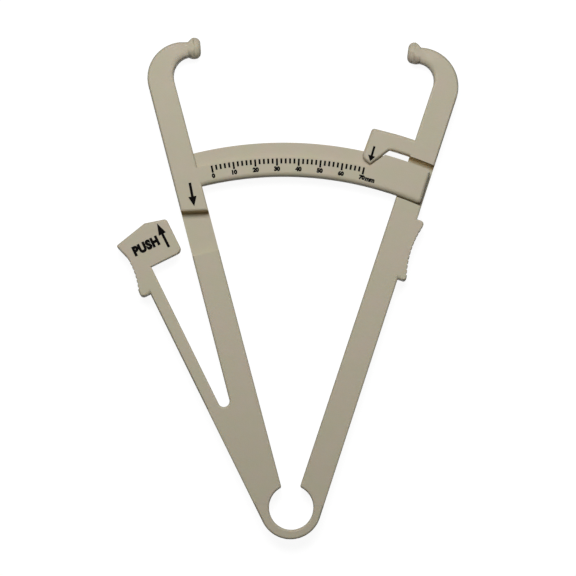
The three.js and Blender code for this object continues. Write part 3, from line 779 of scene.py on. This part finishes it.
grip_chord = GRIP_LENGTH / 2 - GRIP_FOOT_ROUNDING
grip_radius = (grip_chord ** 2 + GRIP_HOLLOW ** 2) / (2 * GRIP_HOLLOW)
grip_centre = on_finger_grip(GRIP_LENGTH / 2, GRIP_HEIGHT - GRIP_HOLLOW + grip_radius)
hollow_low = on_finger_grip(GRIP_FOOT_ROUNDING, GRIP_HEIGHT)
hollow_high = on_finger_grip(GRIP_LENGTH - GRIP_FOOT_ROUNDING, GRIP_HEIGHT)
hollow = arc_between(grip_centre, hollow_low, hollow_high, steps=24)
finger_grip = slab("finger_grip_ridge", [
    *[on_finger_grip(0, out) for out in (-GRIP_ROOT, *FOOT_POINTS)],
    *rounded_corner(on_finger_grip(0, 0), on_finger_grip(0, GRIP_HEIGHT), hollow[1],
                    GRIP_FOOT_ROUNDING),
    *hollow[1:-2],
    *rounded_corner(hollow[-3], on_finger_grip(GRIP_LENGTH, GRIP_HEIGHT),
                    on_finger_grip(GRIP_LENGTH, 0), GRIP_TOP_ROUNDING),
    on_finger_grip(GRIP_LENGTH, -GRIP_ROOT),
], 0, THICKNESS)
grip_seam = (on_finger_grip(0, -GRIP_ROOT), on_finger_grip(GRIP_LENGTH, -GRIP_ROOT))
round_edges(finger_grip, FOOT_RIM, foot_rims(grip_seam, arm_outer(GRIP_FOOT), arm_out))
notch(finger_grip, hollow_edge(grip_centre, grip_radius, hollow_low, hollow_high))
unite(pointer_side, finger_grip)


def painted_shade_place(centre, reaches):
    """Values of the painted shade mask of a deep corner in metres, from its centre and its reaches on
    the drawing.
    """
    return [in_frame(*centre, 0.0), *(reach / 1000 for reach in reaches)]


# The pointer arm's skin carries painted shade in the corner under the bracket.
POINTER_CREAM = moulded_plastic("pointer_arm_skin", painted_shade_place(SCALE_CENTRE, BRACKET_SHADE))
finish_moulding(pointer_side, POINTER_CREAM, "right_arm", "right_jaw", "right_jaw_pad",
                "pointer_bracket", "finger_grip")
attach(pointer_side, "pointer_arm")


# Scale arm: the half that carries the scale, in the same cream plastic, with the root of the press
# lever moulded to its outside up to a slot's round end, and a pocket in its front for the press tab.
LEAF_WIDTH = 4.3
SLOT_RADIUS = 1.96
LEAF_BEND = 11.4
PRESSED_LEAN_PAST = 1.16
TAB_FOOT = 94.6
TAB_LENGTH = 12.37
TAB_REACH = 11.87
POCKET_CLEARANCE = 0.35
POCKET_HEADROOM = 1.4
POCKET_LIP = 1.2
POCKET_FILLET = 1.4
POCKET_TILT = 4.0
ROUGH_POCKET_SHORT = 2
LIP_CUTTER_LENGTH = 3
PAST_OUTER_EDGE = 20
PAST_INNER_EDGE = 8
POCKET_SHADE_RADIUS = 400
# Reaches of the painted shade along the pocket's top wall, about a far centre, in millimetres.
POCKET_SHADE = (398.6, 400.0, 400.6, 401.4, 7.95)
JAW_START = 56.0

arm_outward = towards(180 + ARM_OUTER_LEAN)
slot_line = on_lever(0, -LEAF_WIDTH - SLOT_RADIUS)
from_arm = Vector((-arm_outer(0).x, 0)).dot(arm_outward) + SLOT_RADIUS
slot_distance = (from_arm - slot_line.dot(arm_outward)) / LEVER_ALONG.dot(arm_outward)
slot_centre = slot_line + slot_distance * LEVER_ALONG
leaf_seam = (on_lever(slot_distance, 0), on_lever(slot_distance, -LEAF_WIDTH))
lever_pivot = on_lever(slot_distance + LEAF_BEND, -LEAF_WIDTH / 2)

left_cut = tuple(mirrored(across_arm(JAW_START), -1))
scale_side = slab("scale_arm_moulding", [
    on_lever(lever_at_top, 0),
    leaf_seam[0],
    *arc(slot_centre, SLOT_RADIUS, 180 + LEVER_LEAN, 360 + ARM_OUTER_LEAN, steps=24),
    left_cut[1],
    left_cut[0],
    *mirrored(throat(-1, RING_TOP), -1),
], 0, THICKNESS)
round_edges(scale_side, RIM, rims(ring_seam, leaf_seam, left_cut))
left_jaw = Jaw(-1, bend_height=146.35, inner_radius=6.5, outer_radius=12.3,
               neck_height=4.8, pad_rise=0.87)
draw_out(scale_side, Section(*left_cut, THICKNESS, RIM), left_jaw.sections())


def turned(point, centre, angle):
    """Point turned about a centre by an angle in degrees."""
    return centre + Matrix.Rotation(math.radians(angle), 2) @ (point - centre)


press_angle = LEVER_LEAN - ARM_OUTER_LEAN + PRESSED_LEAN_PAST
tab_far = on_lever(TAB_FOOT + TAB_LENGTH, -LEAF_WIDTH - TAB_REACH)
tab_near = on_lever(TAB_FOOT, -LEAF_WIDTH - TAB_REACH)
tab_foot = on_lever(TAB_FOOT, -LEAF_WIDTH)
ledge_outer = turned(tab_foot, lever_pivot, -press_angle)
ledge_inner = turned(tab_near, lever_pivot, -press_angle)
ledge = (ledge_inner - ledge_outer).normalized()
ledge_down = Vector((ledge.y, -ledge.x)) * POCKET_CLEARANCE
pocket_top = turned(tab_far, lever_pivot, -press_angle).y + POCKET_HEADROOM
pocket_left = ledge_outer + ledge_down - PAST_OUTER_EDGE * ledge
pocket_right = ledge_inner + ledge_down + PAST_INNER_EDGE * ledge
pocket = slab("pocket", [
    pocket_left,
    pocket_right,
    Vector((pocket_right.x, pocket_top - ROUGH_POCKET_SHORT)),
    Vector((pocket_left.x, pocket_top - ROUGH_POCKET_SHORT)),
], WEB_FRONT, CUTTER_TOP)
cut(scale_side, pocket)
lip_centre = Vector((pocket_top + POCKET_LIP, THICKNESS - POCKET_LIP))
fillet_centre = Vector((pocket_top - POCKET_FILLET, WEB_FRONT + POCKET_FILLET))
lip = slab("pocket_lip", [
    Vector((pocket_top - LIP_CUTTER_LENGTH, WEB_FRONT)),
    *arc(fillet_centre, POCKET_FILLET, 270, 360, steps=8),
    *arc(lip_centre, POCKET_LIP, 180, 90, steps=8),
    Vector((pocket_top + POCKET_LIP, CUTTER_TOP)),
    Vector((pocket_top - LIP_CUTTER_LENGTH, CUTTER_TOP)),
], pocket_left.x, pocket_right.x)
lip_middle = Vector(((ledge_outer.x + ledge_inner.x) / 2, pocket_top))
for vertex in lip.data.vertices:
    vertex.co = vertex.co.zxy
    vertex.co.xy = turned(vertex.co.xy, lip_middle, POCKET_TILT)
cut(scale_side, lip)


# Scale: curved front plate between the arms, moulded with the scale arm, with a recessed band along
# its upper edge that the hook slides over. The slanted edge at its end stops the pointer.
STOP_TOP_INSET = 0.8
STOP_BOTTOM_INSET = 0.55
STOP_ROUNDING = 1.4
SCALE_ROUNDING = 1.6
STOP_END_SHARE = 0.5
SCALE_OVERLAP = 2.5
CORNER_LEAD = 1
END_RIM_LEAD = 0.6
UNDER_TOP = 0.002
BAND_OVERLAP = 1
BAND_PAST_STOP = 0.5


def in_left_arm(radius):
    """Angle on the scale a little inside the left arm's inner edge."""
    on_edge = on_circle(mirrored([arm_inner(0)], -1)[0], towards(90 + ARM_INNER_LEAN), radius)
    return scale_angle(on_edge) - math.degrees(SCALE_OVERLAP / radius)


stop_top = on_circle(stop_foot, stop_direction, STOP_RADIUS)
stop_top_end = edge_angle(arm_outer(0).x, ARM_OUTER_LEAN, STOP_RADIUS)
stop_top_end -= math.degrees(STOP_TOP_INSET / STOP_RADIUS)
stop_bottom_end = edge_angle(arm_outer(0).x, ARM_OUTER_LEAN, SCALE_INNER)
stop_bottom_end -= math.degrees(STOP_BOTTOM_INSET / SCALE_INNER)
bottom_corner, top_corner = on_scale(SCALE_INNER, stop_bottom_end), on_scale(STOP_RADIUS, stop_top_end)
before_bottom = on_scale(SCALE_INNER, stop_bottom_end - CORNER_LEAD)
after_top = on_scale(STOP_RADIUS, stop_top_end - CORNER_LEAD)

scale = slab("scale_plate", [
    *scale_arc(SCALE_INNER, in_left_arm(SCALE_INNER), stop_bottom_end - CORNER_LEAD, steps=64),
    *rounded_corner(before_bottom, bottom_corner, top_corner, STOP_ROUNDING),
    *rounded_corner(bottom_corner, top_corner, after_top, STOP_ROUNDING),
    *scale_arc(STOP_RADIUS, stop_top_end - CORNER_LEAD, scale_angle(stop_top), steps=12),
    stop_foot,
    *scale_arc(BAND_INNER, STOP_FOOT, in_left_arm(BAND_INNER), steps=64)[1:],
], FRONT_LAYER, THICKNESS)


def scale_front_rim(a, b):
    """Share of the rounding of each front edge: full along the scale's bottom, less up its end."""
    if min(a.z, b.z) < THICKNESS - SAME_PLACE:
        return 0
    middle = (a.xy + b.xy) / 2
    radius, angle = (middle - SCALE_CENTRE).length, scale_angle(middle)
    if radius < SCALE_INNER + ON_ARC:
        return 1
    if angle < stop_bottom_end - END_RIM_LEAD or radius > STOP_RADIUS - UNDER_TOP:
        return 0
    return 1 - (1 - STOP_END_SHARE) * smooth_step((radius - SCALE_INNER) / STOP_ROUNDING)


round_edges(scale, SCALE_ROUNDING, scale_front_rim, segments=6)
band_end = scale_angle(stop_top) + BAND_PAST_STOP
band = slab("scale_band", [
    *scale_arc(BAND_INNER - BAND_OVERLAP, in_left_arm(BAND_INNER), band_end, steps=64),
    *scale_arc(SCALE_OUTER, band_end, in_left_arm(SCALE_OUTER), steps=64),
], FRONT_LAYER, BAND_FRONT)
unite(scale, band)
unite(scale_side, scale)

# The scale arm's skin carries painted shade along the pocket's top wall.
shade_centre = lip_middle - POCKET_SHADE_RADIUS * towards(90 + POCKET_TILT)
SCALE_CREAM = moulded_plastic("scale_arm_skin", painted_shade_place(shade_centre, POCKET_SHADE))
finish_moulding(scale_side, SCALE_CREAM, "left_arm", "left_jaw", "left_jaw_pad", "scale_arc",
                "scale_end_stop", "lever_root")
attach(scale_side, "scale_arm")


# Press lever: a thin leaf that bends near its root, a ribbed hollow for the thumb at its upper end
# and a thin front tab that slides into the pocket of the arm. Same shot of cream plastic.
THUMB_FOOT = 86.6
THUMB_HEIGHT = 3.4
THUMB_FOOT_ROUNDING = 1.3
THUMB_HOLLOW_START = 2.0
THUMB_HOLLOW_BOTTOM = 11.9
THUMB_HOLLOW_HEIGHT = 1.5
THUMB_HOLLOW_END = 14.4
THUMB_CORNER_DISTANCE = 19.65
THUMB_CORNER_HEIGHT = 3.25
THUMB_CORNER_ROUNDING = 0.7
TAB_PEAK_RISE = 1.95
TAB_PEAK_REACH = 4.5
TAB_FAR_ROUNDING = 1.2
TAB_NEAR_ROUNDING = 1.8
TAB_SPACE_ABOVE = 6
TAB_SPACE_MARGIN = 2
BELOW_BACK = -1


def on_thumb_grip(distance, out):
    """Point at a distance up the lever from the thumb grip's foot and a distance out to the left."""
    return on_lever(THUMB_FOOT + distance, out)


tab_peak = on_lever(TAB_FOOT + TAB_LENGTH + TAB_PEAK_RISE, -LEAF_WIDTH - TAB_PEAK_REACH)
thumb_corner = on_thumb_grip(THUMB_CORNER_DISTANCE, THUMB_CORNER_HEIGHT)
thumb_rise = THUMB_HEIGHT - THUMB_HOLLOW_HEIGHT
thumb_run = THUMB_HOLLOW_BOTTOM - THUMB_HOLLOW_START
thumb_radius = (thumb_run ** 2 + thumb_rise ** 2) / (2 * thumb_rise)
thumb_centre = on_thumb_grip(THUMB_HOLLOW_BOTTOM, THUMB_HOLLOW_HEIGHT + thumb_radius)
past_bottom = THUMB_HOLLOW_END - THUMB_HOLLOW_BOTTOM
hollow_end = on_thumb_grip(THUMB_HOLLOW_END, THUMB_HOLLOW_HEIGHT + thumb_radius
                           - math.sqrt(thumb_radius ** 2 - past_bottom ** 2))
hollow_start = on_thumb_grip(THUMB_HOLLOW_START, THUMB_HEIGHT)
thumb_hollow = arc_between(thumb_centre, hollow_start, hollow_end, steps=16)
lever = slab("press_lever_moulding", [
    leaf_seam[0],
    *[on_thumb_grip(0, out) for out in FOOT_POINTS],
    *rounded_corner(on_thumb_grip(0, 0), on_thumb_grip(0, THUMB_HEIGHT), thumb_hollow[1],
                    THUMB_FOOT_ROUNDING),
    *thumb_hollow[1:],
    *rounded_corner(thumb_hollow[-1], thumb_corner, tab_peak, THUMB_CORNER_ROUNDING),
    tab_peak,
    *rounded_corner(tab_peak, tab_far, tab_near, TAB_FAR_ROUNDING),
    *rounded_corner(tab_far, tab_near, tab_foot, TAB_NEAR_ROUNDING),
    tab_foot,
    leaf_seam[1],
], 0, THICKNESS)
round_edges(lever, FOOT_RIM, foot_rims(leaf_seam, on_thumb_grip(0, 0), LEVER_OUT))
space_top = TAB_FOOT + TAB_LENGTH + TAB_SPACE_ABOVE
space_foot = TAB_FOOT - TAB_SPACE_MARGIN
space_end = -LEAF_WIDTH - TAB_REACH - TAB_SPACE_MARGIN
tab_space = slab("tab_space", [
    tab_foot,
    on_lever(space_top, -LEAF_WIDTH),
    on_lever(space_top, space_end),
    on_lever(space_foot, space_end),
    on_lever(space_foot, -LEAF_WIDTH),
], BELOW_BACK, FRONT_LAYER)
cut(lever, tab_space)
notch(lever, hollow_edge(thumb_centre, thumb_radius, hollow_start, hollow_end))
finish_moulding(lever, CREAM, "lever_blade", "thumb_grip", "press_tab")
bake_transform(lever)


# Printed scale: black ink pad-printed on the front of the scale, a tick every two millimetres with
# a longer one at every ten, each with its number, and the unit after the last.
INK_HEIGHT = 0.03
TICK_COUNT = 36
TICKS_PER_NUMBER = 5
TICK_PITCH = 0.697
FIRST_TICK = -13.31
TICK_TOP = 123.12
TICK_LENGTH = 1.74
LONG_TICK_LENGTH = 2.45
TICK_WIDTH = 0.65
NUMBER_HEIGHT = 1.7
NUMBER_RADIUS = 119.6
NUMBER_WEIGHT = 0.08
UNIT_HEIGHT = 1.32
UNIT_WEIGHT = 0.07
UNIT_LEAD = 1.34
UNIT_DROP = 0.25


def printing_ink():
    """Black ink: a thin dry film, slightly uneven."""
    material = bpy.data.materials.new("black_ink")
    material.use_nodes = True
    nodes, links = material.node_tree.nodes, material.node_tree.links
    shader = nodes["Principled BSDF"]
    shader.inputs["Specular IOR Level"].default_value = 0.05
    place = nodes.new("ShaderNodeTexCoord")
    wear = nodes.new("ShaderNodeTexNoise")
    wear.inputs["Scale"].default_value = 1500
    tint = nodes.new("ShaderNodeValToRGB")
    tint.color_ramp.elements[0].color = (0.002, 0.002, 0.002, 1)
    tint.color_ramp.elements[1].color = (0.006, 0.005, 0.004, 1)
    links.new(place.outputs["Object"], wear.inputs["Vector"])
    links.new(wear.outputs["Fac"], tint.inputs["Fac"])
    links.new(tint.outputs["Color"], shader.inputs["Base Color"])
    add_grain(material, scale=2600, roughness=0.8, strength=0.2)
    return material


INK = printing_ink()


def print_on(name, marks, body):
    """Join printed marks to one piece of ink that rides on a body."""
    bpy.ops.object.select_all(action="DESELECT")
    for mark in marks:
        mark.select_set(True)
    bpy.context.view_layer.objects.active = marks[0]
    if len(marks) > 1:
        bpy.ops.object.join()
    ink = marks[0]
    ink.name = name
    ink.data.transform(INTO_FRAME)
    ink.data.materials.clear()
    ink.data.materials.append(INK)
    bpy.ops.object.select_all(action="DESELECT")
    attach(ink, body)


def lettering(words, height, place, angle, weight, narrowing=1.0, spacing=1.0):
    """Printed words of a capital height, centred on a place and turned by an angle."""
    bpy.ops.object.text_add()
    text = bpy.context.object
    text.data.body = words
    text.data.offset = weight
    text.data.space_character = spacing
    text.data.extrude = 0.01
    text.data.resolution_u = 3
    bpy.ops.object.convert(target="MESH")
    word = bpy.context.object
    corners = [vertex.co.copy() for vertex in word.data.vertices]
    low = Vector([min(corner[i] for corner in corners) for i in range(3)])
    high = Vector([max(corner[i] for corner in corners) for i in range(3)])
    size = height / (high.y - low.y)
    centre = (low + high) / 2
    flatten = Matrix.Diagonal((size * narrowing, size, INK_HEIGHT / (high.z - low.z), 1))
    turn = Matrix.Rotation(math.radians(angle), 4, "Z")
    shift = Matrix.Translation((place.x, place.y, THICKNESS + INK_HEIGHT / 2))
    word.data.transform(shift @ turn @ flatten @ Matrix.Translation(-centre))
    return word


marks = []
for i in range(TICK_COUNT):
    length = LONG_TICK_LENGTH if i % TICKS_PER_NUMBER == 0 else TICK_LENGTH
    angle = FIRST_TICK + TICK_PITCH * i
    across = towards(-angle) * TICK_WIDTH / 2
    top, foot = on_scale(TICK_TOP, angle), on_scale(TICK_TOP - length, angle)
    marks.append(slab("tick", [foot - across, foot + across, top + across, top - across],
                      THICKNESS, THICKNESS + INK_HEIGHT))
for i in range((TICK_COUNT - 1) // TICKS_PER_NUMBER + 1):
    angle = FIRST_TICK + TICKS_PER_NUMBER * TICK_PITCH * i
    marks.append(lettering(str(10 * i), NUMBER_HEIGHT, on_scale(NUMBER_RADIUS, angle), -angle,
                           NUMBER_WEIGHT))
unit_angle = FIRST_TICK + (TICK_COUNT - 1) * TICK_PITCH + UNIT_LEAD
unit_place = on_scale(NUMBER_RADIUS - UNIT_DROP, unit_angle)
marks.append(lettering("mm", UNIT_HEIGHT, unit_place, -unit_angle, UNIT_WEIGHT))
print_on("scale_print", marks, "scale_arm")


# Printed arrows and the word on the tab: black ink, pad-printed like the scale. The arrows on the
# arm and the tab line up when the lever is pressed in, and the bracket's points at the scale.
def arrow(tail, tip, shaft_width, head_length, head_width):
    """Printed arrow from its tail to its tip."""
    along = (tip - tail).normalized()
    side = Vector((along.y, -along.x))
    neck = tip - head_length * along
    return slab("arrow", [
        tail + side * shaft_width / 2,
        neck + side * shaft_width / 2,
        neck + side * head_width / 2,
        tip,
        neck - side * head_width / 2,
        neck - side * shaft_width / 2,
        tail - side * shaft_width / 2,
    ], THICKNESS, THICKNESS + INK_HEIGHT)


pointer_arrow = arrow(Vector((24.99, 123.77)), Vector((23.62, 118.6)),
                      shaft_width=0.75, head_length=2.0, head_width=2.55)
print_on("pointer_arrow", [pointer_arrow], "pointer_arm")
arm_arrow = arrow(Vector((-37.56, 109.33)), Vector((-35.76, 101.35)),
                  shaft_width=0.9, head_length=3.4, head_width=2.85)
print_on("arm_arrow", [arm_arrow], "scale_arm")
tab_word = lettering("PUSH", 3.6, on_lever(101.75, -5.85), LEVER_LEAN,
                     weight=0.075, narrowing=0.87, spacing=1.12)
tab_arrow = arrow(on_lever(97.9, -12.75), on_lever(107.0, -12.65),
                  shaft_width=0.88, head_length=4.1, head_width=2.7)
print_on("tab_print", [tab_word, tab_arrow], "press_lever")


# Floor, light and camera: a plain white floor under the caliper, a soft light from above its jaws
# with a little light from all round, and the camera high above the front.
CAMERA_PLACE = (0.052, 0.056, 1258)
CAMERA_TURN = (3.4093, 0.0315, 1.7993)
LIGHT_PLACE = (-0.03, 0.22, 0.50)
LIGHT_TARGET = Vector((0, -0.05, 0))

bpy.ops.mesh.primitive_plane_add(size=4, location=(0, 0, -0.0005))
floor = bpy.context.object
floor.name = "floor"
white = bpy.data.materials.new("white_floor")
white.use_nodes = True
nodes, links = white.node_tree.nodes, white.node_tree.links
shader = nodes["Principled BSDF"]
shader.inputs["Base Color"].default_value = (0.15, 0.15, 0.15, 1)
shader.inputs["Roughness"].default_value = 0.9
glow = nodes.new("ShaderNodeEmission")
rays = nodes.new("ShaderNodeLightPath")
add = nodes.new("ShaderNodeAddShader")
mix = nodes.new("ShaderNodeMixShader")
seen = nodes.new("ShaderNodeMath")
seen.operation = "MAXIMUM"
links.new(rays.outputs["Is Camera Ray"], seen.inputs[0])
links.new(rays.outputs["Is Glossy Ray"], seen.inputs[1])
links.new(seen.outputs["Value"], mix.inputs["Fac"])
links.new(shader.outputs["BSDF"], mix.inputs[1])
links.new(shader.outputs["BSDF"], add.inputs[0])
links.new(glow.outputs["Emission"], add.inputs[1])
links.new(add.outputs["Shader"], mix.inputs[2])
glow.inputs["Strength"].default_value = 0.93
links.new(mix.outputs["Shader"], nodes["Material Output"].inputs["Surface"])
floor.data.materials.append(white)

world = bpy.data.worlds.new("studio")
bpy.context.scene.world = world
world.use_nodes = True
world.node_tree.nodes["Background"].inputs["Color"].default_value = (1, 1, 1, 1)
world.node_tree.nodes["Background"].inputs["Strength"].default_value = 0.02

bpy.ops.object.light_add(type="AREA", location=LIGHT_PLACE)
key = bpy.context.object
key.name = "key_light"
key.data.shape = "RECTANGLE"
key.data.size = 0.36
key.data.size_y = 0.24
key.data.energy = 2.72
key.rotation_euler = (LIGHT_TARGET - key.location).to_track_quat("-Z", "Y").to_euler()

bpy.ops.object.camera_add(location=in_frame(*CAMERA_PLACE))
camera = bpy.context.object
camera.rotation_euler = [math.radians(angle) for angle in CAMERA_TURN]
camera.data.lens = 230.088
camera.data.sensor_width = 36
camera.data.clip_end = 10
bpy.context.scene.camera = camera
bpy.context.scene.view_settings.view_transform = "Standard"
